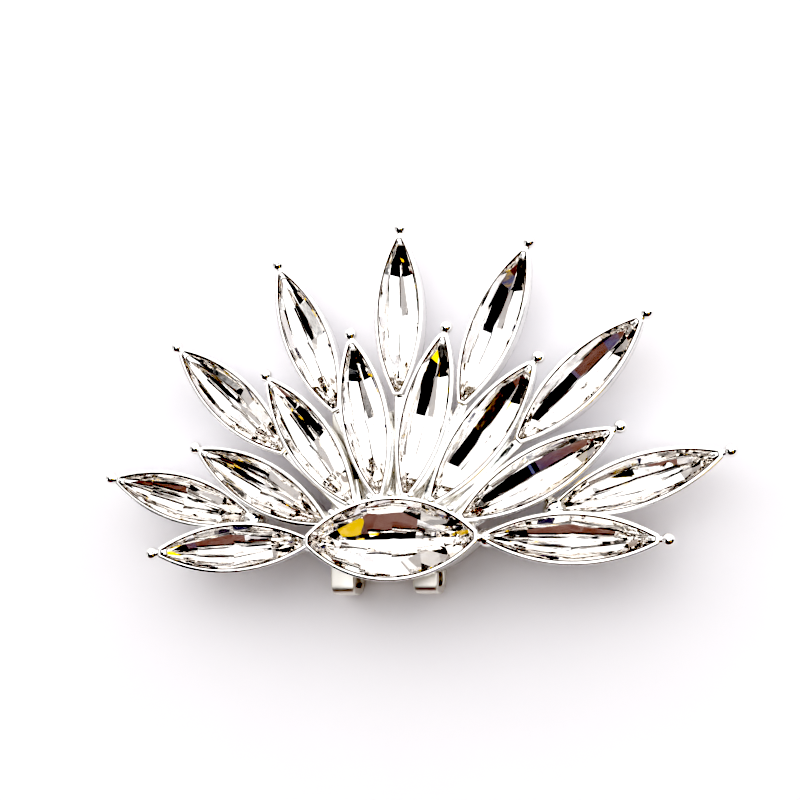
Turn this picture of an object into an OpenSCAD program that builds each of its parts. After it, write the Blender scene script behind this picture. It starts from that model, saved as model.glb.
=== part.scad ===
// Fan-shaped dress shoe clip in millimetres. It lies on its closed clip, +Z up, stones upwards.
// X runs across the fan, Y from the big front stone to the tip of the middle petal.
// The origin is on the surface below the middle of the whole clip.

/* [Petal stones] */
// Length of a petal stone, tip to tip
petal_l = 15; // [14.5:0.1:15.5]
// Width of a petal stone
petal_w = 4; // [3.6:0.1:4.2]
// Height of a petal stone above its girdle
petal_crown = 0.75; // [0.5:0.05:1]
// Depth of a petal stone below its girdle
petal_pavilion = 1.4; // [1.2:0.05:1.6]

/* [Centre stone] */
// Length of the centre stone, tip to tip
centre_l = 15.8; // [15:0.1:16.4]
// Width of the centre stone
centre_w = 7; // [6.4:0.1:7.4]
// Height of the centre stone above its girdle
centre_crown = 1.3; // [0.8:0.1:1.6]
// Depth of the centre stone below its girdle
centre_pavilion = 2.5; // [2:0.1:2.6]

/* [Fan] */
// How far the petals' common focus lies in front of the centre stone's middle
focus_front = 1.9; // [1.5:0.1:2.3]
// Height of the centre cup's rim
centre_rim_z = 8.2; // [8:0.1:8.6]
// Height of the outer petals' rims
outer_rim_z = 5.8; // [5.6:0.1:6]
// Height of the inner petals' rims at their inner ends
inner_rim_z = 7.6; // [7.4:0.1:7.8]
// Height of the two wing petals' rims
wing_rim_z = 6.7; // [6.5:0.1:6.9]
// Fall of the inner petals towards their tips, degrees
inner_fall = 5.5; // [4:0.5:7]
// Fall of the outer petals towards their tips, degrees
outer_fall = 1.5; // [0:0.5:2]
// Inner end of a wing petal's stone, from the middle line
wing_x = 8.9; // [8.8:0.1:9.4]
// How far the wing petals point forwards, degrees
wing_turn = 2.3; // [0:0.1:3]

/* [Setting] */
// Thickness of a cup's rim
rim_t = 0.45; // [0.4:0.05:0.5]
// Space between a stone and its cup
stone_gap = 0.05; // [0.03:0.01:0.08]
// Depth of a girdle below its rim
girdle_drop = 0.22; // [0.15:0.01:0.3]
// Thickness of a cup's floor
floor_t = 0.45; // [0.4:0.05:0.6]
// Diameter of the balls at the petal tips
ball_d = 1.25; // [1.1:0.05:1.4]
// Distance from a stone's tip to the middle of its ball
ball_reach = 1.2; // [1.1:0.05:1.4]
// Width of the stems between the inner petals
stem_w = 1.1; // [0.9:0.1:1.3]

/* [Clip] */
// How far the clip is soldered to the left of the middle line
clip_left = 2; // [0:0.1:2.2]
// Width of the clip across its knuckles
clip_w = 10.6; // [10:0.1:11]
// Width of one knuckle of the fixed plate
knuckle_w = 2.4; // [2.2:0.1:2.8]
// Distance of the hinge pin in front of the centre stone's middle
hinge_front = 1.9; // [1.8:0.1:2.1]
// How far the fixed plate's two ears reach in front of the pin before they turn down
ear_reach = 1.5; // [1.3:0.1:1.7]
// Thickness of the clip's sheet metal
sheet_t = 0.8; // [0.7:0.05:0.8]
// Diameter of the hinge pin
pin_d = 1.2; // [1:0.05:1.3]
// Reach of the clip behind the centre stone's middle
clip_back = 12.6; // [12:0.1:13]
// Width of the lever
lever_w = 10; // [9.6:0.1:10.4]
// Teeth along the lever's lip
teeth = 7; // [5:1:9]

/* [Hidden] */
$fn = 144;
eps = 0.02;
tip_blunt = 0.3;
girdle_t = 0.2;
cup_taper = 0.3;
cavity_taper = 0.15;
keel_room = 0.3;
centre_keel_room = 0.15;
neck_d = 0.7;
ball_drop = 0.45;
bead_d = 0.8;
bead_drop = 0.35;
overlap = 0.2;
bar_start = 4;
rib_w = 1.6;
blob_r = 1.15;
blob_top_r = 0.7;
blob_h = 1;
joint_r = 0.8;
joint_l = 2;
joint_drop = 0.75;
pin_play = 0.03;
knuckle_gap = 0.25;
plate_lip = 0.15;
plate_side = 0.3;
plate_front = 1.9;
notch_h = 0.7;
ear_steps = 8;

// Outer petals from the middle one outwards: angle from the middle line, radius of the stone's tip
OUTER = [[0, 31.0], [23.3, 31.1], [47.0, 31.1], [73.5, 30.7]];
// Inner petals from the middle outwards: angle from the middle line, radius of the stone's tip
INNER = [[12.4, 21.3], [36.5, 21.8], [61.2, 22.9]];
ANGLE = 0;
RADIUS = 1;

petal_floor = girdle_drop + petal_pavilion + keel_room;
petal_h = petal_floor + floor_t;
centre_floor = girdle_drop + centre_pavilion + centre_keel_room;
centre_h = centre_floor + floor_t;

pin_z = 1.5;
lever_knuckle_r = 1.5;
plate_knuckle_r = 1.4;
plate_z = 3.2;
hub_z = plate_z + sheet_t;
hub_t = centre_rim_z - centre_h - hub_z + 0.1;
hub_r = 7.4;
lever_barrel_w = clip_w - 2 * knuckle_w - 2 * knuckle_gap;

fan_back = OUTER[0][RADIUS] - focus_front + ball_reach + ball_d / 2;
fan_front = -hinge_front - ear_reach - plate_knuckle_r;
y_mid = (fan_back + fan_front) / 2;

// Radius of the two arcs that meet in a pointed oval of half length a and half width b
function arc_r(a, b) = (a * a + b * b) / (2 * b);

// A pointed oval with blunt tips, its top at z 0, whose sides lean in by taper over its height
module boat(l, w, h, taper, grow = 0) {
    r = arc_r(l / 2 + tip_blunt, w / 2);
    c = r - w / 2;
    intersection() {
        translate([0, -c, -h]) cylinder(h = h, r1 = r + grow - taper, r2 = r + grow);
        translate([0, c, -h]) cylinder(h = h, r1 = r + grow - taper, r2 = r + grow);
        translate([0, 0, -h]) cylinder(h = h, r1 = l / 2 + grow - taper, r2 = l / 2 + grow);
    }
}

// All that lies beyond one facet: p is a point on it, az the side it faces, tilt its normal from +Z
module beyond(p, az, tilt, size) {
    translate(p) rotate([0, tilt, az]) translate([-size, -size, 0]) cube([2 * size, 2 * size, size]);
}

// A cut navette: table, main and break facets on the crown, long facets down to a keel below.
// mains, breaks and keels are the facets' angles along each side, counted from its middle
module navette(l, w, crown, pavilion, mains, breaks, keels, main_slope, break_slope, tip_slope) {
    r = arc_r(l / 2 + tip_blunt, w / 2);
    c = r - w / 2;
    keel_slope = atan((pavilion - girdle_t / 2) / (w / 2));
    difference() {
        translate([0, 0, crown]) boat(l, w, crown + pavilion, 0);
        for (side = [-1, 1]) {
            for (t = mains)
                beyond([r * sin(t), side * (r * cos(t) - c), girdle_t / 2],
                    side * (90 - t), main_slope, l + w);
            for (t = breaks)
                beyond([r * sin(t), side * (r * cos(t) - c), girdle_t / 2],
                    side * (90 - t), break_slope, l + w);
            for (t = keels)
                beyond([r * sin(t), side * (r * cos(t) - c), -girdle_t / 2],
                    side * (90 - t), 180 - keel_slope, l + w);
            beyond([side * l / 2, 0, girdle_t / 2], 90 - side * 90, tip_slope, l + w);
        }
    }
}

module petal_stone() {
    color([0.93, 0.94, 0.95])
        translate([0, 0, -girdle_drop])
            navette(petal_l, petal_w, petal_crown, petal_pavilion,
                [-8, 8], [-24, 24], [-22, -8, 8, 22], 34, 42, 28);
}

module centre_cut_stone() {
    color([0.93, 0.94, 0.95])
        translate([0, 0, -girdle_drop])
            navette(centre_l, centre_w, centre_crown, centre_pavilion,
                [-25, 25], [-30, 0, 30], [-38, -23, -7.5, 7.5, 23, 38], 38, 43, 34);
}

// Puts a petal that points along +X, its middle at the origin, in its place in the fan
module at_petal(angle, tip_r, rim_z, fall) {
    translate([0, -focus_front, rim_z])
        rotate([0, 0, 90 - angle])
            translate([tip_r - petal_l, 0, 0])
                rotate([0, fall, 0])
                    translate([petal_l / 2, 0, 0]) children();
}

// Outer petals are numbered 1 to 9 from left to right, and 1 and 9 are the wings
module at_outer(n) {
    k = n - 5;
    side = sign(k);
    if (abs(k) == 4) {
        translate([side * wing_x, 0, wing_rim_z])
            rotate([0, 0, 90 - side * (90 + wing_turn)])
                translate([petal_l / 2, 0, 0]) children();
    } else {
        row = OUTER[abs(k)];
        at_petal(side * row[ANGLE], row[RADIUS], outer_rim_z, outer_fall) children();
    }
}

// Inner petals are numbered 1 to 6 from left to right
module at_inner(n) {
    k = n - 3.5;
    row = INNER[abs(k) - 0.5];
    at_petal(sign(k) * row[ANGLE], row[RADIUS], inner_rim_z, inner_fall) children();
}

module petal_cup_body() {
    boat(petal_l, petal_w, petal_h, cup_taper, rim_t);
    translate([petal_l / 2, 0, -ball_drop]) rotate([0, 90, 0]) cylinder(h = ball_reach, d = neck_d);
    translate([petal_l / 2 + ball_reach, 0, -ball_drop]) sphere(d = ball_d);
}

module petal_cup_cavity() {
    translate([0, 0, eps]) boat(petal_l, petal_w, petal_floor + eps, cavity_taper, stone_gap);
}

module centre_cup_body() {
    translate([0, 0, centre_rim_z]) boat(centre_l, centre_w, centre_h, cup_taper, rim_t);
}

module centre_cup_cavity() {
    translate([0, 0, centre_rim_z + eps])
        boat(centre_l, centre_w, centre_floor + eps, cavity_taper, stone_gap);
}

// A square bar on the hub, from radius r0 to r1 of the fan
module bar(angle, r0, r1, w, z0, z1) {
    translate([0, -focus_front, z0])
        rotate([0, 0, 90 - angle])
            translate([r0, -w / 2, 0]) cube([r1 - r0, w, z1 - z0]);
}

// A round blob of solder at p, made of two short cones base to base
module blob(p) {
    translate(p) for (up = [0, 1]) mirror([0, 0, up]) cylinder(h = blob_h, r1 = blob_r, r2 = blob_top_r);
}

// Stems to the outer petals, ribs under the inner ones, solder at the joints and beads at the rim
module spider() {
    stem_top = outer_rim_z - 0.5;
    rib_top = inner_rim_z - petal_l / 2 * sin(inner_fall) - petal_h + floor_t / 2;
    for (k = [-2:2]) {
        row = OUTER[abs(k)];
        bar(sign(k) * row[ANGLE], bar_start, row[RADIUS] - petal_l + overlap, stem_w, hub_z, stem_top);
    }
    for (side = [-1, 1], row = INNER)
        bar(side * row[ANGLE], bar_start, row[RADIUS] - petal_l / 2, rib_w, hub_z, rib_top);
    for (side = [-1, 1]) {
        row = OUTER[3];
        blob_z = outer_rim_z - blob_top_r;
        root_r = row[RADIUS] - petal_l - 0.3;
        blob([side * root_r * sin(row[ANGLE]), root_r * cos(row[ANGLE]) - focus_front, blob_z]);
        bar(side * row[ANGLE], root_r - blob_r, root_r + 1, 1, hub_z + overlap, blob_z);
        translate([side * (centre_l / 2 + joint_drop), 0, wing_rim_z - joint_drop])
            rotate([0, 90, 0]) cylinder(h = joint_l, r = joint_r, center = true);
    }
    bead_r = arc_r(centre_l / 2 + tip_blunt, centre_w / 2);
    for (a = [-30:10:30])
        translate([bead_r * sin(a), bead_r * (cos(a) - 1) + centre_w / 2 + rim_t, centre_rim_z - bead_drop])
            rotate([0, 0, -a]) translate([0, 0.1, 0]) sphere(d = bead_d);
}

module hub() {
    translate([0, 0, hub_z - eps]) intersection() {
        cylinder(h = hub_t, r = hub_r);
        translate([-hub_r, 0.2, 0]) cube([2 * hub_r, hub_r, hub_t]);
    }
}

function arc(centre, r, from, to, steps) =
    [for (i = [0:steps], a = from + (to - from) * i / steps) centre + r * [cos(a), sin(a)]];

// Side view of an ear, from the pin: it runs forward, turns down and is rolled back under, round the pin
module ear_profile() {
    front = -ear_reach - plate_knuckle_r;
    polygon(concat(
        [[plate_front, plate_z], [front + sheet_t, plate_z]],
        [[front + sheet_t, pin_z + plate_knuckle_r]],
        arc([0, pin_z], plate_knuckle_r, 90, -90, ear_steps * 2),
        arc([-ear_reach, pin_z], plate_knuckle_r, 270, 180, ear_steps),
        arc([front + sheet_t, plate_z], sheet_t, 180, 90, ear_steps),
        [[plate_front, plate_z + sheet_t]]));
}

// The clip's fixed sheet-metal half: a plate whose two front ears are rolled round the pin
module clip_plate() {
    translate([-clip_left, 0, 0]) {
        translate([-lever_w / 2 - plate_side, plate_front - hinge_front, plate_z])
            cube([lever_w + 2 * plate_side, hinge_front - plate_front + clip_back, sheet_t]);
        for (side = [-1, 1])
            translate([side * (clip_w - knuckle_w) / 2 - knuckle_w / 2, -hinge_front, 0])
                rotate([90, 0, 90]) linear_extrude(knuckle_w) ear_profile();
    }
}

module pin_bore(d, w) {
    translate([-clip_left - w / 2, -hinge_front, pin_z]) rotate([0, 90, 0]) cylinder(h = w, d = d);
}

module setting() {
    color([0.9, 0.9, 0.9])
        difference() {
            union() {
                for (n = [1:9]) at_outer(n) petal_cup_body();
                for (n = [1:6]) at_inner(n) petal_cup_body();
                centre_cup_body();
                spider();
                hub();
                clip_plate();
            }
            for (n = [1:9]) at_outer(n) petal_cup_cavity();
            for (n = [1:6]) at_inner(n) petal_cup_cavity();
            centre_cup_cavity();
            pin_bore(pin_d + 2 * pin_play, clip_w + 1);
        }
}

module centre_stone() {
    translate([0, 0, centre_rim_z]) centre_cut_stone();
}

module hinge_pin() {
    color([0.75, 0.76, 0.78]) pin_bore(pin_d, clip_w - 0.4);
}

// The moving jaw: a strip with a rolled knuckle in front and a toothed lip behind
module clip_lever() {
    lip_top = plate_z - plate_lip;
    pitch = lever_w / teeth;
    neck = plate_knuckle_r + 0.35;
    color([0.85, 0.85, 0.86])
        difference() {
            translate([-clip_left, -hinge_front, 0]) {
                translate([-lever_barrel_w / 2, 0, pin_z])
                    rotate([0, 90, 0]) cylinder(h = lever_barrel_w, r = lever_knuckle_r);
                translate([-lever_barrel_w / 2, 0, 0]) cube([lever_barrel_w, neck + 1, sheet_t]);
                translate([-lever_w / 2, neck, 0])
                    cube([lever_w, hinge_front + clip_back - neck, sheet_t]);
                translate([-lever_w / 2, hinge_front + clip_back, 0])
                    rotate([90, 0, 0])
                        linear_extrude(sheet_t)
                            polygon(concat([[0, 0]],
                                [for (i = [0:teeth - 1], tip = [0, 1])
                                    [(i + tip / 2) * pitch, tip == 0 ? lip_top - notch_h : lip_top]],
                                [[lever_w, lip_top - notch_h], [lever_w, 0]]));
            }
            pin_bore(pin_d + 2 * pin_play, clip_w + 1);
        }
}

translate([0, -y_mid, 0]) {
    setting();
    for (n = [1:9]) at_outer(n) petal_stone();
    for (n = [1:6]) at_inner(n) petal_stone();
    centre_stone();
    hinge_pin();
    clip_lever();
}
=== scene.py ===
"""A fan-shaped dress shoe clip of silver-plated metal and cut crystal, lying stones up on its closed clip.

Lengths are in millimetres, and Y counts from the big stone's middle, until a piece's mesh is made.
"""

import bmesh
import bpy
import numpy as np
from mathutils import Matrix


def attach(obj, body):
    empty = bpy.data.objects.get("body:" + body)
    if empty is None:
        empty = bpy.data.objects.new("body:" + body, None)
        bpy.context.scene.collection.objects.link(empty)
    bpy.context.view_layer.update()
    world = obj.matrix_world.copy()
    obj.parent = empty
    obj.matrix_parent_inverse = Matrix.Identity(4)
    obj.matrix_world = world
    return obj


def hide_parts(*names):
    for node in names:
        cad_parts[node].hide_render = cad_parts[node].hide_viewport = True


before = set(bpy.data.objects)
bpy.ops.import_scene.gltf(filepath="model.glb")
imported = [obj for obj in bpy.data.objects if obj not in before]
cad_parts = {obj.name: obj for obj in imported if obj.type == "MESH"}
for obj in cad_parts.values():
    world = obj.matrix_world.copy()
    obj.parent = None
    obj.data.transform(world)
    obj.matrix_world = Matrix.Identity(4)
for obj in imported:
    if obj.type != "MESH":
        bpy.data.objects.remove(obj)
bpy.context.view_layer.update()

# Petal cups
#
# Fifteen open pointed-oval boxes of white metal, cast in one with their stems, then polished and silver
# plated. A rounded rim stands round each stone, and a small ball on a neck ends each petal. Nine make the
# outer fan, its first and last beside the big stone as wings, and six make the higher inner one.
MM = 0.001
TO_MIDDLE = 13.0625  # from the big stone's middle back to the whole clip's middle
PETAL_LENGTH, PETAL_WIDTH, TIP_BLUNT = 15.0, 4.0, 0.3
RIM_THICKNESS, STONE_GAP = 0.45, 0.05
PETAL_FLOOR, FLOOR_THICKNESS = 1.92, 0.45
OUTSIDE_LEAN, INSIDE_LEAN = 0.3, 0.15
RIM_ROUND, LIP_ROUND, FOOT_ROUND = 0.18, 0.1, 0.12
BALL_RADIUS, BALL_REACH, BALL_DROP = 0.625, 1.2, 0.45
NECK_RADIUS, NECK_FLARE, NECK_MOST = 0.35, 0.12, 0.45
NECK_START, NECK_END = -1.9, -0.6  # from the ball's middle
BALL_FROM, MELT = 0.45, 8  # radians off the ball's inner pole, and the power that melts it into the neck
ARC_POINTS, CAP_POINTS, ROUND_POINTS, SMOOTHINGS = 57, 7, 28, 3
FOCUS_FRONT = 1.9  # the petals' common focus, in front of the big stone's middle
OUTER_PETALS = ((0, 31.0), (23.3, 31.1), (47.0, 31.1), (73.5, 30.7))  # degrees from the middle, tip's radius
INNER_PETALS = ((12.4, 21.3), (36.5, 21.8), (61.2, 22.9))
OUTER_RIM_Z, OUTER_FALL = 5.8, 1.5  # falls and turns are in degrees
INNER_RIM_Z, INNER_FALL = 7.6, 5.5
WING_X, WING_RIM_Z, WING_TURN = 8.9, 6.7, 2.3


class Wire:
    """One socket of a node tree. Arithmetic on wires adds Math nodes, and node() adds any other node."""

    def __init__(self, tree, socket=None):
        self.tree, self.socket = tree, socket

    def node(self, kind, settings, inputs, out=0):
        """A new node: its settings are made, then its sockets get values or wires. Returns one output."""
        made = self.tree.nodes.new(kind)
        for name, value in settings.items():
            setattr(made, name, value)
        for name, value in inputs.items():
            socket = self.pick(made.inputs, name)
            if isinstance(value, Wire):
                self.tree.links.new(value.socket, socket)
            else:
                socket.default_value = value
        return Wire(self.tree, self.pick(made.outputs, out)) if made.outputs else None

    @staticmethod
    def pick(sockets, name):
        """The socket at a number, or the one in use with that name: a Mix node has several of each name."""
        if isinstance(name, int):
            return sockets[name]
        return next(socket for socket in sockets if socket.name == name and socket.enabled)

    def maths(self, operation, *values):
        """A Math node over values or wires."""
        return self.node("ShaderNodeMath", {"operation": operation}, dict(enumerate(values)))

    def __add__(self, other):
        return self.maths("ADD", self, other)

    def __mul__(self, other):
        return self.maths("MULTIPLY", self, other)

    def __sub__(self, other):
        return self.maths("SUBTRACT", self, other)

    def __rsub__(self, other):
        return self.maths("SUBTRACT", other, self)

    def __lt__(self, other):
        return self.maths("LESS_THAN", self, other)

    __radd__, __rmul__ = __add__, __mul__

    def noise(self, scale, detail):
        """Cloudy noise at this place."""
        return self.node("ShaderNodeTexNoise", {}, {"Vector": self, "Scale": scale, "Detail": detail}, "Fac")

    def drawn_out(self, scale, detail):
        """Noise at this place drawn out into streaks: the axis with the larger scale crosses them."""
        streaks = self.node("ShaderNodeMapping", {}, {"Vector": self, "Scale": scale})
        return streaks.noise(1.0, detail)

    def between(self, first, second):
        """The colour between two, the first where this wire is 0 and the second where it is 1."""
        ends = {"Factor": self, "A": (*first, 1), "B": (*second, 1)}
        return self.node("ShaderNodeMix", {"data_type": "RGBA"}, ends, "Result")

    def bump(self, strength, distance):
        """The normal of a surface with this wire's height."""
        return self.node("ShaderNodeBump", {}, {"Height": self, "Strength": strength, "Distance": distance})


def new_finish(name):
    """An empty material, the wire that its nodes start from, and the place on the object as a wire."""
    finish = bpy.data.materials.new(name)
    finish.use_nodes = True
    finish.node_tree.nodes.clear()
    start = Wire(finish.node_tree)
    return finish, start, start.node("ShaderNodeTexCoord", {}, {}, "Object")


def close_finish(start, sockets):
    """Ends a material in one Principled shader with these sockets."""
    surface = start.node("ShaderNodeBsdfPrincipled", {}, sockets)
    start.node("ShaderNodeOutputMaterial", {}, {"Surface": surface})


silver, start, place = new_finish("silver_plate")
cloudy = place.noise(260.0, 3.0)
grainy = place.noise(1700.0, 2.0)
close_finish(start, {
    "Base Color": cloudy.between((0.97, 0.965, 0.95), (0.9, 0.885, 0.87)),
    "Metallic": 1.0,
    "Roughness": 0.05 + 0.12 * cloudy,
    "Normal": (cloudy * 0.7 + grainy * 0.3).bump(0.25, 0.0002),
})


def setting_piece(name, grids, finish):
    """A closed smooth piece of the setting over grids of points, each (rows, points round a ring, 3).

    Rings join their last point to their first. The first and last rows of each grid shrink to a point, where
    the doubles are merged. A step round the ring crossed with a step from row to row points outwards.
    """
    points, faces, base = [], [], 0
    for grid in grids:
        rows, round_ = grid.shape[:2]
        i, j = np.meshgrid(np.arange(rows - 1), np.arange(round_), indexing="ij")
        k = (j + 1) % round_
        corners = [i * round_ + j, i * round_ + k, (i + 1) * round_ + k, (i + 1) * round_ + j]
        faces.append(np.stack(corners, axis=-1).reshape(-1, 4) + base)
        points.append(grid.reshape(-1, 3))
        base += rows * round_
    points = (np.concatenate(points) - (0, TO_MIDDLE, 0)) * MM
    mesh = bpy.data.meshes.new(name)
    mesh.from_pydata(points.tolist(), [], np.concatenate(faces).tolist())
    merged = bmesh.new()
    merged.from_mesh(mesh)
    bmesh.ops.remove_doubles(merged, verts=merged.verts, dist=1e-7)
    merged.to_mesh(mesh)
    merged.free()
    mesh.shade_smooth()
    mesh.set_sharp_from_angle(angle=np.radians(50))
    mesh.materials.append(finish)
    piece = bpy.data.objects.new(name, mesh)
    bpy.context.scene.collection.objects.link(piece)
    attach(piece, "ornament")
    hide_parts("setting")


def turned(axis, degrees):
    """The 4 by 4 matrix of a turn about one axis, 0 for X, 1 for Y, 2 for Z."""
    a, b = [(1, 2), (2, 0), (0, 1)][axis]
    matrix = np.eye(4)
    c, s = np.cos(np.radians(degrees)), np.sin(np.radians(degrees))
    matrix[a, a] = matrix[b, b] = c
    matrix[a, b], matrix[b, a] = -s, s
    return matrix


def shifted(x, y, z):
    """The 4 by 4 matrix of a shift."""
    matrix = np.eye(4)
    matrix[:3, 3] = x, y, z
    return matrix


def placed(matrix, grid):
    """The grid's points moved by the matrix."""
    return grid @ matrix[:3, :3].T + matrix[:3, 3]


def with_heights(rings, heights):
    """Rings of points (x, y) made (x, y, z), with one height for each ring."""
    heights = np.broadcast_to(np.asarray(heights)[:, None, None], rings.shape[:2] + (1,))
    return np.concatenate([rings, heights], axis=-1)


def pointed_oval(length, width, grow):
    """Outlines of a pointed oval, one ring of points (x, y) for each value of grow, anticlockwise from +X.

    Two arcs of radius (a*a + b*b) / (2*b) bulge to b, half the width, and a circle round the middle cuts both
    off at half the length. Growing adds grow to all three radii. The mean of each point with its neighbours,
    taken three times, rounds the corners where they meet.
    """
    a, b = length / 2 + TIP_BLUNT, width / 2
    grow = np.asarray(grow, float)[:, None]
    bulge = (a * a + b * b) / (2 * b)
    drop = bulge - b
    arc, end = bulge + grow, length / 2 + grow
    least = 0.02  # keeps the blunt end from closing up
    corner_y = np.clip((arc**2 - end**2 - drop**2) / (2 * drop), least, None)
    corner = np.arccos((corner_y + drop) / arc)
    cap = np.arcsin(corner_y / end)
    along = np.cos(np.linspace(0, np.pi, ARC_POINTS))[None]
    over = np.linspace(1, -1, CAP_POINTS)[None, 1:-1]
    top = np.stack([arc * np.sin(corner * along), arc * np.cos(corner * along) - drop], axis=-1)
    left = np.stack([-end * np.cos(cap * over), end * np.sin(cap * over)], axis=-1)
    ring = np.concatenate([top, left, -top, -left], axis=1)
    for _ in range(SMOOTHINGS):
        ring = (np.roll(ring, 1, axis=1) + 2 * ring + np.roll(ring, -1, axis=1)) / 4
    return ring


def cup(length, width, floor, height):
    """An open box on a pointed oval, its rim's top at z 0: the outline carried along the wall's profile.

    The profile runs from the middle of the underside out, up the leaning outside, over the rounded rim, down
    the inside, which leans in more, and along the floor to its middle. Each of its points has a growth of the
    outline, a height, and a share by which the flat underside and floor shrink to a point.
    """
    quarter = np.linspace(0, np.pi / 2, 6)
    wall = np.linspace(-height + FOOT_ROUND, -RIM_ROUND, 5)
    well = np.linspace(-LIP_ROUND, -floor, 6)
    foot = RIM_THICKNESS - OUTSIDE_LEAN
    grow = [
        [foot - FOOT_ROUND] * 3,
        foot - FOOT_ROUND + FOOT_ROUND * np.sin(quarter[1:-1]),
        foot + OUTSIDE_LEAN * (wall + height) / height,
        RIM_THICKNESS - RIM_ROUND + RIM_ROUND * np.cos(quarter[1:]),
        STONE_GAP + LIP_ROUND - LIP_ROUND * np.sin(quarter[:-1]),
        STONE_GAP + INSIDE_LEAN * well / floor,
        [STONE_GAP - INSIDE_LEAN] * 2,
    ]
    z = [
        [-height] * 3,
        -height + FOOT_ROUND - FOOT_ROUND * np.cos(quarter[1:-1]),
        wall,
        -RIM_ROUND + RIM_ROUND * np.sin(quarter[1:]),
        -LIP_ROUND + LIP_ROUND * np.cos(quarter[:-1]),
        well,
        [-floor] * 2,
    ]
    share = np.ones(sum(len(part) for part in z))
    share[:2], share[-2:] = (0, 0.6), (0.6, 0)
    rings = pointed_oval(length, width, np.concatenate(grow)) * share[:, None, None]
    return with_heights(rings, np.concatenate(z))


def spun(along, radius):
    """A profile of radii spun about X: (along, radius * cos t, radius * sin t)."""
    t = np.linspace(0, 2 * np.pi, ROUND_POINTS, endpoint=False)[None]
    along, radius = np.asarray(along)[:, None], np.asarray(radius)[:, None]
    return np.stack([along + 0 * t, radius * np.cos(t), radius * np.sin(t)], axis=-1)


def ball_on_neck():
    """A spun ball and neck at a petal's tip, x counted from the ball's middle.

    The radius is (neck**m + ball**m) ** (1 / m), which melts the two together. The ball's is sqrt(r*r - x*x),
    and the neck's flares towards the cup as exp(-x) and shrinks to nothing through the ball's far half.
    """
    round_ball = -BALL_RADIUS * np.cos(np.linspace(BALL_FROM, np.pi, 22))
    x = np.concatenate([np.linspace(NECK_START, NECK_END, 12), round_ball])
    flare = NECK_RADIUS + NECK_FLARE * np.exp(-(x + BALL_REACH) / NECK_FLARE)
    neck = np.minimum(np.where(x < 0, flare, NECK_RADIUS * (1 - x / BALL_RADIUS)), NECK_MOST)
    ball = np.sqrt(np.clip(BALL_RADIUS**2 - x**2, 0, None))
    radius = (neck**MELT + ball**MELT) ** (1 / MELT)
    radius[[0, -1]] = 0
    return spun(x + PETAL_LENGTH / 2 + BALL_REACH, radius) - (0, 0, BALL_DROP)


def petal_place(side, row, rim_z, fall):
    """Where a petal that points along X goes: out from the common focus, turned, falling to its tip."""
    degrees, tip_radius = row
    return (
        shifted(0, -FOCUS_FRONT, rim_z)
        @ turned(2, 90 - side * degrees)
        @ shifted(tip_radius - PETAL_LENGTH, 0, 0)
        @ turned(1, fall)
        @ shifted(PETAL_LENGTH / 2, 0, 0)
    )


def wing_place(side):
    """Where one of the two petals beside the big stone goes."""
    outwards = turned(2, 90 - side * (90 + WING_TURN))
    return shifted(side * WING_X, 0, WING_RIM_Z) @ outwards @ shifted(PETAL_LENGTH / 2, 0, 0)


petal_grids = [cup(PETAL_LENGTH, PETAL_WIDTH, PETAL_FLOOR, PETAL_FLOOR + FLOOR_THICKNESS), ball_on_neck()]
petal_places = []
for number in range(1, 10):
    step, side = abs(number - 5), np.sign(number - 5)
    if step == 4:
        where = wing_place(side)
    else:
        where = petal_place(side, OUTER_PETALS[step], OUTER_RIM_Z, OUTER_FALL)
    petal_places.append(where)
    setting_piece(f"outer_cup_{number}", [placed(where, grid) for grid in petal_grids], silver)
for number in range(1, 7):
    step, side = int(abs(number - 3.5)), np.sign(number - 3.5)
    where = petal_place(side, INNER_PETALS[step], INNER_RIM_Z, INNER_FALL)
    petal_places.append(where)
    setting_piece(f"inner_cup_{number}", [placed(where, grid) for grid in petal_grids], silver)

# Centre cup
#
# The deep cup of the big stone, cast with the rest. Seven small grains of metal stand along its back rim.
CENTRE_LENGTH, CENTRE_WIDTH, CENTRE_FLOOR, CENTRE_RIM_Z = 15.8, 7.0, 2.87, 8.2
GRAIN_RADIUS, GRAIN_OUT, GRAIN_DROP = 0.4, 0.1, 0.35
GRAIN_DEGREES = range(-30, 31, 10)  # along the rim's arc


def lump(centre, radius, squash=1.0):
    """A ball about a point, spun from a half circle, its height scaled by squash."""
    t = np.linspace(np.pi, 0, 15)
    return spun(radius * np.cos(t), radius * np.sin(t)) * (1, 1, squash) + centre


centre_cup = cup(CENTRE_LENGTH, CENTRE_WIDTH, CENTRE_FLOOR, CENTRE_FLOOR + FLOOR_THICKNESS)
rim_arc = ((CENTRE_LENGTH / 2 + TIP_BLUNT) ** 2 + (CENTRE_WIDTH / 2) ** 2) / CENTRE_WIDTH
rim_back = CENTRE_WIDTH / 2 + RIM_THICKNESS
grains = []
for degrees in GRAIN_DEGREES:
    a = np.radians(degrees)
    x = (rim_arc + GRAIN_OUT) * np.sin(a)
    y = rim_arc * (np.cos(a) - 1) + rim_back + GRAIN_OUT * np.cos(a)
    grains.append(lump((x, y, CENTRE_RIM_Z - GRAIN_DROP), GRAIN_RADIUS))
setting_piece("centre_cup", [centre_cup + (0, 0, CENTRE_RIM_Z)] + grains, silver)

# Seams round the stones
#
# The narrow joint between each stone and its rim. A thin near-black ring laid in it is painted shade,
# standing for the shadow in the gap, and it frames the stone with a thin black line.
SEAM_RADIUS, SEAM_OUT, SEAM_DROP = 0.07, 0.085, 0.08

# Painted shade: this ring's near-black colour stands for the shadow in the gap between stone and rim.
seam_shade, start, place = new_finish("painted_seam_shade")
patchy = place.noise(500.0, 2.0)
close_finish(start, {
    "Base Color": patchy.between((0.004, 0.004, 0.005), (0.16, 0.11, 0.09)),
    "Roughness": 0.5 + 0.2 * patchy,
    "Specular IOR Level": 0.2,
})


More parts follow.
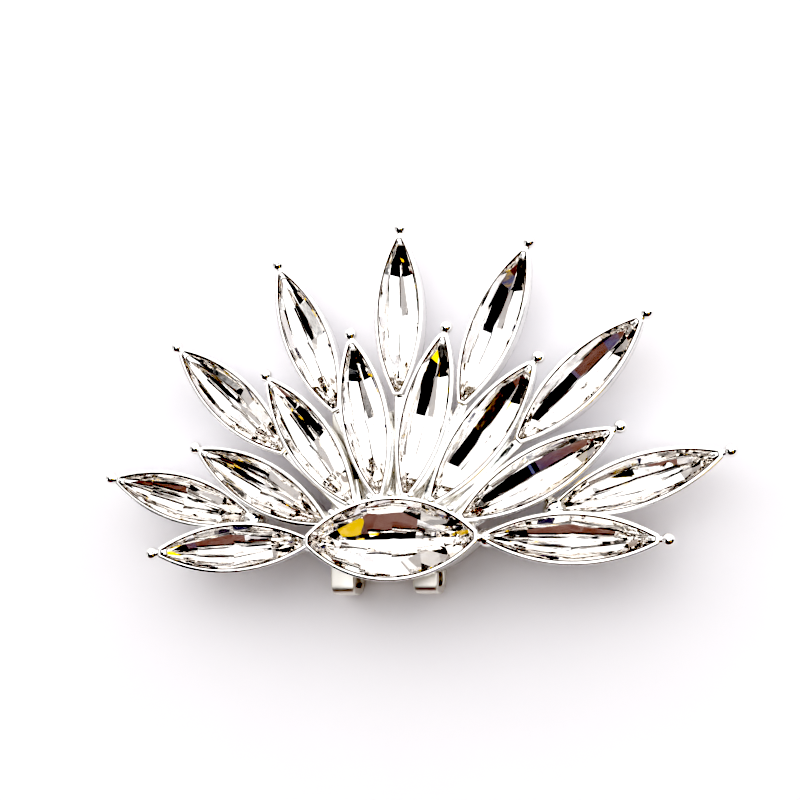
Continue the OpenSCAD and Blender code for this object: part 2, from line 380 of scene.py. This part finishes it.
def seam(length, width):
    """A thin ring along a stone's outline: a circle of the seam's radius carried round the pointed oval."""
    t = np.linspace(0, 2 * np.pi, 9)
    rings = pointed_oval(length, width, SEAM_OUT + SEAM_RADIUS * np.cos(t))
    return with_heights(rings, SEAM_RADIUS * np.sin(t) - SEAM_DROP)


petal_seam = seam(PETAL_LENGTH, PETAL_WIDTH)
centre_seam = seam(CENTRE_LENGTH, CENTRE_WIDTH) + (0, 0, CENTRE_RIM_Z)
setting_piece("stone_seams", [placed(where, petal_seam) for where in petal_places] + [centre_seam], seam_shade)

# Stems and solder
#
# Cast bars run out from a half-round hub to the outer petals, and lower ribs carry the inner ones. Lumps of
# solder fill the joints beside the big stone and where the lowest fan petals meet the wings.
HUB_Z, HUB_SINK, HUB_THICKNESS, HUB_RADIUS, HUB_FRONT = 4.0, 0.02, 0.98, 7.4, 0.2
BAR_START, BAR_BOTTOM, BAR_EDGE = 4.0, 3.99, 0.3
STEM_WIDTH, STEM_TOP, STEM_OVERLAP = 1.1, 5.3, 0.2
RIB_WIDTH, RIB_TOP = 1.6, 4.736
ARM_WIDTH, ARM_BOTTOM, ARM_TOP = 1.0, 4.2, 5.1
ROOT_INSET, ARM_BACK, ARM_AHEAD = 0.3, 1.2, 1.0
BLOB_RADIUS, BLOB_DROP = 1.15, 0.7
JOINT_RADIUS, JOINT_OUT, JOINT_DROP = 0.88, 0.75, 0.75
SOLDER_SQUASH = 0.95
END_STEPS, CORNER_STEPS = 5, 6


def strip(path, side, half_width, half_thickness, edge):
    """A strip with rounded edges and ends, carried along a path: a rounded rectangle on each of its points.

    The corners' centres are the half width along side and the half thickness along the path's normal, each
    less the edge's radius. From each end inwards the radius grows from 0 as the edge times the sine of an
    angle, while the section moves in by the edge times 1 - cosine.
    """
    path = np.asarray(path, float)
    side = np.broadcast_to(np.asarray(side, float), path.shape)
    half_width = np.broadcast_to(np.asarray(half_width, float), len(path))
    ahead = np.gradient(path, axis=0)
    ahead /= np.linalg.norm(ahead, axis=1, keepdims=True)
    phi = np.linspace(0, np.pi / 2, END_STEPS)
    inset = (edge * (1 - np.cos(phi)))[:, None]
    head, tail = path[0] + ahead[0] * inset, (path[-1] - ahead[-1] * inset)[::-1]

    def with_ends(values):
        """Values along the path, the first and last repeated for the rows of the rounded ends."""
        return np.concatenate([values[:1].repeat(END_STEPS + 1, 0), values[1:-1],
                               values[-1:].repeat(END_STEPS + 1, 0)])

    rows = np.concatenate([head[:1], head, path[1:-1], tail, tail[-1:]])
    swell = edge * np.sin(phi)
    radius = np.concatenate([[0], swell, [edge] * (len(path) - 2), swell[::-1], [0]])
    open_ = np.ones(len(rows))
    open_[[0, -1]] = 0
    side, ahead, half_width = with_ends(side), with_ends(ahead), with_ends(half_width)
    lift = np.cross(ahead, side)
    corner = np.arange(4) * np.pi / 2
    turn = (corner[:, None] + np.linspace(0, np.pi / 2, CORNER_STEPS)[None]).ravel()
    sign_side = np.sign(np.cos(corner + np.pi / 4)).repeat(CORNER_STEPS)
    sign_lift = np.sign(np.sin(corner + np.pi / 4)).repeat(CORNER_STEPS)
    across = open_[:, None] * (half_width - edge)[:, None] * sign_side + radius[:, None] * np.cos(turn)
    up = open_[:, None] * (half_thickness - edge) * sign_lift + radius[:, None] * np.sin(turn)
    return rows[:, None] + across[..., None] * side[:, None] + up[..., None] * lift[:, None]


def spoke(degrees, inner, outer, width, bottom, top):
    """A straight bar out from the fan's focus, between two radii."""
    r = np.linspace(inner, outer, 12)[:, None]
    a = np.radians(degrees)
    out = np.array([np.sin(a), np.cos(a), 0])
    path = r * out + (0, -FOCUS_FRONT, (bottom + top) / 2)
    edge = min(BAR_EDGE, (top - bottom) / 2.2)  # less than half of a thin bar
    return strip(path, np.cross((0, 0, 1), out), width / 2, (top - bottom) / 2, edge)


def half_hub():
    """A half disc with a rounded edge: rings of its outline, shrunk to its middle above and below."""
    t = np.linspace(0, np.pi, 49)
    arc = np.stack([HUB_RADIUS * np.cos(t), np.maximum(HUB_RADIUS * np.sin(t), HUB_FRONT)], axis=-1)
    front_x = np.linspace(-HUB_RADIUS, HUB_RADIUS, 25)[1:-1]
    front = np.stack([front_x, np.full(len(front_x), HUB_FRONT)], axis=-1)
    ring = np.concatenate([arc, front])
    middle = np.array([0, HUB_RADIUS * 0.4])
    rise = np.array([0, 0, 0.02, 0.15, 0.85, 0.98, 1, 1])
    share = np.array([0, 0.97, 0.985, 1, 1, 0.985, 0.97, 0])
    rings = middle + (ring - middle)[None] * share[:, None, None]
    return with_heights(rings, HUB_Z - HUB_SINK + HUB_THICKNESS * rise)


bars = [half_hub()]
for step in (-2, -1, 0, 1, 2):
    degrees, tip_radius = OUTER_PETALS[abs(step)]
    stem_end = tip_radius - PETAL_LENGTH + STEM_OVERLAP
    bars.append(spoke(np.sign(step) * degrees, BAR_START, stem_end, STEM_WIDTH, BAR_BOTTOM, STEM_TOP))
for side in (-1, 1):
    for degrees, tip_radius in INNER_PETALS:
        rib_end = tip_radius - PETAL_LENGTH / 2
        bars.append(spoke(side * degrees, BAR_START, rib_end, RIB_WIDTH, BAR_BOTTOM, RIB_TOP))
setting_piece("hub_and_stems", bars, silver)

lumps = []
for side in (-1, 1):
    degrees, tip_radius = OUTER_PETALS[3]
    root = tip_radius - PETAL_LENGTH - ROOT_INSET
    a = np.radians(side * degrees)
    blob_at = (root * np.sin(a), root * np.cos(a) - FOCUS_FRONT, OUTER_RIM_Z - BLOB_DROP)
    joint_at = (side * (CENTRE_LENGTH / 2 + JOINT_OUT), 0, WING_RIM_Z - JOINT_DROP)
    lumps.append(lump(blob_at, BLOB_RADIUS, SOLDER_SQUASH))
    lumps.append(spoke(side * degrees, root - ARM_BACK, root + ARM_AHEAD, ARM_WIDTH, ARM_BOTTOM, ARM_TOP))
    lumps.append(lump(joint_at, JOINT_RADIUS, SOLDER_SQUASH))
setting_piece("solder_joints", lumps, silver)

# Clip plate
#
# The fixed half of a bought clip finding, stamped from satin plated sheet and soldered under the hub. Two
# ears reach out in front, turn down and are rolled back round the hinge pin, and their ends are narrower.
CLIP_LEFT, CLIP_WIDTH, KNUCKLE_WIDTH = 2.0, 10.6, 2.4
HINGE_FRONT, EAR_REACH, PIN_Z, SHEET, SHEET_EDGE = 1.9, 1.5, 1.5, 0.8, 0.2
PLATE_Z, PLATE_KNUCKLE, PLATE_FRONT, PLATE_WIDTH, CLIP_BACK = 3.2, 1.4, 1.9, 10.6, 12.6
EAR_OVERLAP, BEND_ROOM, EAR_THINNER, EAR_END_NARROWER = 0.5, 0.15, 0.01, 0.3

satin, start, place = new_finish("satin_plating")
drawn = place.drawn_out((3000, 180, 180), 3.0)
spots = place.noise(350.0, 2.0)
close_finish(start, {
    "Base Color": spots.between((0.93, 0.91, 0.87), (0.84, 0.81, 0.76)),
    "Metallic": 1.0,
    "Roughness": 0.34 + 0.16 * drawn,
    "Normal": drawn.bump(0.12, 0.00005),
})

plate_middle = PLATE_Z + SHEET / 2
plate_path = [(-CLIP_LEFT, y, plate_middle) for y in np.linspace(PLATE_FRONT - HINGE_FRONT, CLIP_BACK, 20)]
plate = [strip(plate_path, (1, 0, 0), PLATE_WIDTH / 2, SHEET / 2, SHEET_EDGE)]

# An ear's middle line: level, a quarter turn down, a quarter roll under its front, and nearly half a turn
# round the pin. The narrowing grows down the bend, is a little less under the front and whole round the pin.
ear_front = -EAR_REACH - PLATE_KNUCKLE
roll = PLATE_KNUCKLE - SHEET / 2
level = np.linspace(PLATE_FRONT + EAR_OVERLAP, ear_front + SHEET + BEND_ROOM, 8)
bend = np.linspace(0, np.pi / 2, 8)
fore_roll = np.linspace(np.pi, 1.5 * np.pi, 10)
pin_roll = np.linspace(1.5 * np.pi, 2.42 * np.pi, 28)
ear_y = np.concatenate([
    level,
    ear_front + SHEET - SHEET / 2 * np.sin(bend),
    [ear_front + SHEET / 2],
    -EAR_REACH + roll * np.cos(fore_roll),
    roll * np.cos(pin_roll),
])
ear_z = np.concatenate([
    np.full(len(level), plate_middle),
    PLATE_Z + SHEET / 2 * np.cos(bend),
    [(PIN_Z + PLATE_Z) / 2],
    PIN_Z + roll * np.sin(fore_roll),
    PIN_Z + roll * np.sin(pin_roll),
])
narrower = np.concatenate([
    np.zeros(len(level)),
    np.sin(bend) * 0.3,
    [0.6],
    0.7 - 0.3 * np.cos(fore_roll),
    np.ones(len(pin_roll)),
])
for side in (-1, 1):
    ear_x = np.full(len(ear_y), side * (CLIP_WIDTH - KNUCKLE_WIDTH) / 2 - CLIP_LEFT)
    ear_path = np.stack([ear_x, ear_y - HINGE_FRONT, ear_z], axis=-1)
    half_width = KNUCKLE_WIDTH / 2 - EAR_END_NARROWER * narrower
    plate.append(strip(ear_path, (1, 0, 0), half_width, SHEET / 2 - EAR_THINNER, SHEET_EDGE))
setting_piece("clip_plate", plate, satin)

# Stones
#
# Sixteen navettes of machine-cut lead glass, clear on top and foiled with a silver mirror below the girdle.
# Each drops into its cup, and the rim holds it. Their solids are the pieces here, and only the finish is new.
FOILED_BELOW = -0.3  # the height of an outward normal below which a facet is foiled

crystal, start, place = new_finish("foiled_crystal")
facing = start.node("ShaderNodeNewGeometry", {}, {}, "True Normal")
behind = start.node("ShaderNodeNewGeometry", {}, {}, "Backfacing")
upward = start.node("ShaderNodeSeparateXYZ", {}, {"Vector": facing}, "Z") * (1 - 2 * behind)
foil = upward < FOILED_BELOW
mottled = foil * place.noise(900.0, 3.0)
close_finish(start, {
    "Base Color": mottled.between((0.985, 0.99, 1), (0.91, 0.865, 0.815)),
    "Metallic": foil,
    "Roughness": 0.003 + mottled * 0.012,
    "IOR": 1.52,
    "Transmission Weight": 1.0,
    "Normal": mottled.bump(0.02, 0.0002),
})
for name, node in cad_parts.items():
    if "stone" in name:
        for slot in range(len(node.data.materials)):
            node.data.materials[slot] = crystal

# Hinge pin and lever
#
# A plain drawn-steel pin runs through the knuckles. The lever is the clip's moving jaw, stamped from the same
# plated sheet, with its own knuckle round the pin and a row of teeth along its turned-up lip.
LEVER_EDGE = 0.12

steel, start, place = new_finish("drawn_steel")
rings = place.drawn_out((4000, 300, 300), 2.0)
close_finish(start, {
    "Base Color": rings.between((0.62, 0.61, 0.6), (0.5, 0.49, 0.48)),
    "Metallic": 1.0,
    "Roughness": 0.18 + 0.15 * rings,
    "Normal": rings.bump(0.2, 0.00005),
})
for slot in range(len(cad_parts["hinge_pin"].data.materials)):
    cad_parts["hinge_pin"].data.materials[slot] = steel

lever_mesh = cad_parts["clip_lever"].data.copy()
lever_mesh.materials.clear()
lever_mesh.materials.append(satin)
merged = bmesh.new()
merged.from_mesh(lever_mesh)
bmesh.ops.remove_doubles(merged, verts=merged.verts, dist=1e-6)
bmesh.ops.dissolve_limit(merged, angle_limit=np.radians(2), verts=merged.verts, edges=merged.edges)
merged.to_mesh(lever_mesh)
merged.free()
lever_mesh.shade_smooth()
lever_mesh.set_sharp_from_angle(angle=np.radians(30))
lever = bpy.data.objects.new("lever_jaw", lever_mesh)
bpy.context.scene.collection.objects.link(lever)
stamped = lever.modifiers.new("stamped_edges", "BEVEL")
stamped.width, stamped.segments = LEVER_EDGE * MM, 3
stamped.limit_method, stamped.angle_limit = "ANGLE", np.radians(30)
stamped.harden_normals = True
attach(lever, "lever")
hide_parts("clip_lever")

# Table top
#
# A plain sheet of white board, lightly mottled, on which the clip lies.
TABLE_HALF = 1.5  # metres

white, start, place = new_finish("white_table")
fibre = place.noise(90.0, 4.0)
close_finish(start, {
    "Base Color": fibre.between((0.935, 0.922, 0.945), (0.915, 0.9, 0.93)),
    "Roughness": 0.6,
})
table_mesh = bpy.data.meshes.new("table_top")
table_corners = [(-TABLE_HALF, -TABLE_HALF, 0), (TABLE_HALF, -TABLE_HALF, 0),
                 (TABLE_HALF, TABLE_HALF, 0), (-TABLE_HALF, TABLE_HALF, 0)]
table_mesh.from_pydata(table_corners, [], [(0, 1, 2, 3)])
table_mesh.materials.append(white)
table_top = bpy.data.objects.new("table_top", table_mesh)
bpy.context.scene.collection.objects.link(table_top)

# Light tent
#
# A bright white tent lights the clip softly from all round. Panels of dark, brown, blue, gold and grey card
# hang on it, most of them in front, and the stones' far facets show them.
TENT_LIGHT = 1.32
BLACK, SLATE = (0.01, 0.013, 0.016), (0.03, 0.035, 0.07)
PALE_GREY, WARM_GREY = (0.36, 0.35, 0.35), (0.45, 0.42, 0.4)
BROWN, NAVY, BLUE = (0.15, 0.09, 0.08), (0.09, 0.1, 0.17), (0.1, 0.12, 0.25)
GOLD, OLD_GOLD = (0.95, 0.62, 0.06), (0.5, 0.34, 0.05)
PANELS = (  # degrees from the front to the right, half width, lowest and highest elevation, soft edge, colour
    (-92, 20, -20, 60, 6, PALE_GREY),
    (-2, 62, -20, 60, 3, BLACK),
    (-74, 14, 36, 66, 3, BLACK),
    (73, 16, -14, 38, 3, BLACK),
    (108, 14, 48, 74, 3, SLATE),
    (-9, 25, -4, 24, 2, BROWN),
    (9, 5, -6, 18, 2, NAVY),
    (36, 4, 10, 26, 2, NAVY),
    (30, 4, 20, 30, 2, BROWN),
    (43, 7, 26, 44, 2, GOLD),
    (27, 5, 2, 10, 2, OLD_GOLD),
    (-4, 14, 48, 56, 2, BROWN),
    (57, 3, 2, 14, 2, BLUE),
    (-52, 4, 2, 24, 2, WARM_GREY),
)

tent = bpy.data.worlds.new("tent")
tent.use_nodes = True
tent.node_tree.nodes.clear()
start = Wire(tent.node_tree)
way = start.node("ShaderNodeTexCoord", {}, {}, "Generated")


def along(direction):
    """How far the way looks along a direction, from -1 to 1."""
    return start.node("ShaderNodeVectorMath", {"operation": "DOT_PRODUCT"}, {0: way, 1: direction}, "Value")


def window(value, middle, half, soft):
    """1 where the value lies within half of the middle, falling smoothly to 0 over soft on both sides."""
    off = start.maths("ABSOLUTE", value - middle)
    limits = {"Value": off, "From Min": half + soft, "From Max": half - soft, "To Min": 0.0, "To Max": 1.0}
    return start.node("ShaderNodeMapRange", {"interpolation_type": "SMOOTHSTEP"}, limits)


def with_panel(base, azimuth, half_width, low, high, soft, colour):
    """The tent's colours with one panel hung over them, from its row in PANELS."""
    a = np.radians(azimuth)
    aside, ahead = along((np.cos(a), np.sin(a), 0)), along((np.sin(a), -np.cos(a), 0))
    turn = start.maths("ARCTAN2", aside, ahead)
    rise = start.maths("ARCSINE", start.node("ShaderNodeSeparateXYZ", {}, {"Vector": way}, "Z"))
    half, middle, tall, soft = np.radians([half_width, (low + high) / 2, (high - low) / 2, soft]).tolist()
    inside = window(turn, 0.0, half, soft) * window(rise, middle, tall, soft)
    hung = {"Factor": inside, "A": base, "B": (*colour, 1)}
    return start.node("ShaderNodeMix", {"data_type": "RGBA"}, hung, "Result")


glow = start.node("ShaderNodeRGB", {}, {})
glow.socket.default_value = (1.0, 1.0, 1.0, 1)
for panel in PANELS:
    glow = with_panel(glow, *panel)
shine = start.node("ShaderNodeBackground", {}, {"Color": glow, "Strength": TENT_LIGHT})
start.node("ShaderNodeOutputWorld", {}, {"Surface": shine})
bpy.context.scene.world = tent

# Camera
#
# It looks steeply down on the clip from the front right through a short telephoto lens. The picture is
# printed bright, with its darkest tones pulled down to black.
LENS_AT = (43.06, -24.63, 134.94)
LOOK_AT = (0.0, 0.3, 5.0)
FOCAL_LENGTH, SENSOR_WIDTH = 66, 36
NEAREST, FARTHEST = 0.005, 20  # metres
EXPOSURE, BLACK_LEVEL = 0.55, 0.14
MOST_BOUNCES, MOST_MIRROR_BOUNCES = 24, 20  # light crosses a foiled stone many times

camera = bpy.data.objects.new("camera", bpy.data.cameras.new("camera"))
bpy.context.scene.collection.objects.link(camera)
lens_at, look_at = np.array(LENS_AT) * MM, np.array(LOOK_AT) * MM
ahead = (look_at - lens_at) / np.linalg.norm(look_at - lens_at)
right = np.cross(ahead, (0, 1, 0))
right /= np.linalg.norm(right)
pose = np.eye(4)
pose[:3] = np.stack([right, np.cross(right, ahead), -ahead, lens_at], axis=-1)
camera.matrix_world = Matrix(pose.tolist())
camera.data.lens, camera.data.sensor_width = FOCAL_LENGTH, SENSOR_WIDTH
camera.data.clip_start, camera.data.clip_end = NEAREST, FARTHEST
bpy.context.scene.camera = camera
print_look = bpy.context.scene.view_settings
print_look.view_transform, print_look.exposure, print_look.use_curve_mapping = "Standard", EXPOSURE, True
print_look.curve_mapping.black_level = (BLACK_LEVEL, BLACK_LEVEL, BLACK_LEVEL)
print_look.curve_mapping.update()
light_paths = bpy.context.scene.cycles
light_paths.max_bounces = MOST_BOUNCES
light_paths.glossy_bounces = light_paths.transmission_bounces = MOST_MIRROR_BOUNCES
